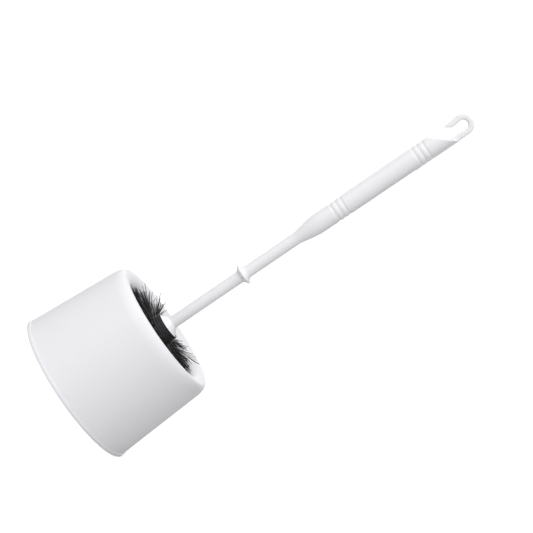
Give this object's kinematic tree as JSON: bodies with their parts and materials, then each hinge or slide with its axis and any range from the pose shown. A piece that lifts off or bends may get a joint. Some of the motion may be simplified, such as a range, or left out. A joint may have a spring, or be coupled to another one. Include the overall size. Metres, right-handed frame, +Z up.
{
  "type": "toilet brush holder",
  "caption": "Free-standing round toilet brush holder with a drip base and a black tufted brush on a long white handle with a drip collar and a hanging hook.",
  "frame": {"origin": "centre of the underside, on the ground", "axes": "+Z up along the axis of the holder and the brush; the hook opens towards -X"},
  "size_m": [0.14, 0.14, 0.4089],
  "materials": {
    "white_plastic": "smooth glossy moulding",
    "handle_plastic": "smooth glossy moulding",
    "black_plastic": "satin moulding",
    "bristle": "fine drawn filaments",
    "anchor_steel": "drawn flat wire"
  },
  "bodies": {
    "base": {"holder_base": "white_plastic"},
    "bowl": {"holder_bowl": "white_plastic"},
    "brush_head": {"brush_core": "black_plastic", "bristle_row_1": "bristle", "bristle_row_2": "bristle", "bristle_row_3": "bristle", "bristle_row_4": "bristle", "bristle_row_5": "bristle", "bristle_row_6": "bristle", "bristle_row_7": "bristle", "bristle_crown": "bristle", "bristle_end": "bristle", "tuft_anchors": "anchor_steel"},
    "handle": {"handle": "handle_plastic"}
  },
  "joints": [
    {"name": "bowl_lift", "type": "slide", "parent": "base", "child": "bowl", "axis": [0, 0, 1], "range_m": [0, 0.05]},
    {"name": "brush_lift", "type": "slide", "parent": "base", "child": "brush_head", "axis": [0, 0, 1], "range_m": [0, 0.12]},
    {"name": "handle_turn", "type": "hinge", "parent": "brush_head", "child": "handle", "pos_m": [0, 0, 0.085], "axis": [0, 0, 1], "continuous": true}
  ]
}
